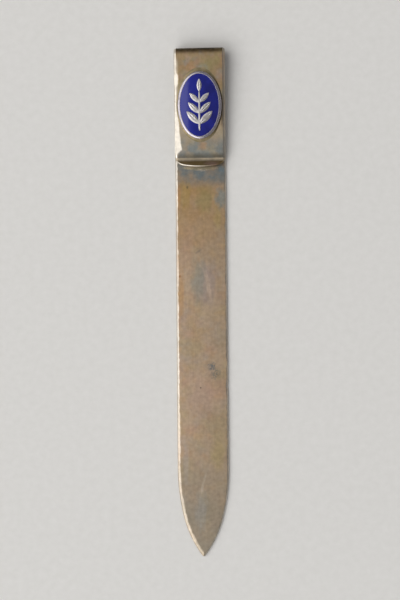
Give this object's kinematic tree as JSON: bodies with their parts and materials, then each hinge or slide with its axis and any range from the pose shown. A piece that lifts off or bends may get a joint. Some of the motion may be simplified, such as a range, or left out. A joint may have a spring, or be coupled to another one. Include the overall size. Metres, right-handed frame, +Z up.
{
  "type": "letter opener",
  "caption": "Flat pointed metal strip, folded back at one end into a spring clip that carries an oval enamelled badge; opens letters and clips to a page or pocket.",
  "frame": {"origin": "middle of the footprint, on the table that the opener lies on", "axes": "+Y from the point towards the fold, +Z up through the strip, +X across its width"},
  "size_m": [0.0152, 0.15, 0.0048],
  "materials": {
    "gilt_strip": "worn satin gilding, tarnished grey beside the lip",
    "badge_silver": "polished white metal, slightly tarnished in its corners",
    "blue_enamel": "glossy fused cobalt-blue glass",
    "solder": "dull flowed solder"
  },
  "bodies": {
    "blade": {"blade": "gilt_strip"},
    "clip": {"spring_clip": "gilt_strip", "badge_plate": "badge_silver", "badge_enamel": "blue_enamel", "badge_emblem": "badge_silver", "solder_seam": "solder"}
  },
  "joints": [
    {"name": "clip_flex", "type": "hinge", "parent": "blade", "child": "clip", "pos_m": [0, 0.0727, 0.0023], "axis": [-1, 0, 0], "range_deg": [0, 4], "stiffness_Nm_per_rad": 5.5, "springref_deg": -0.57}
  ]
}
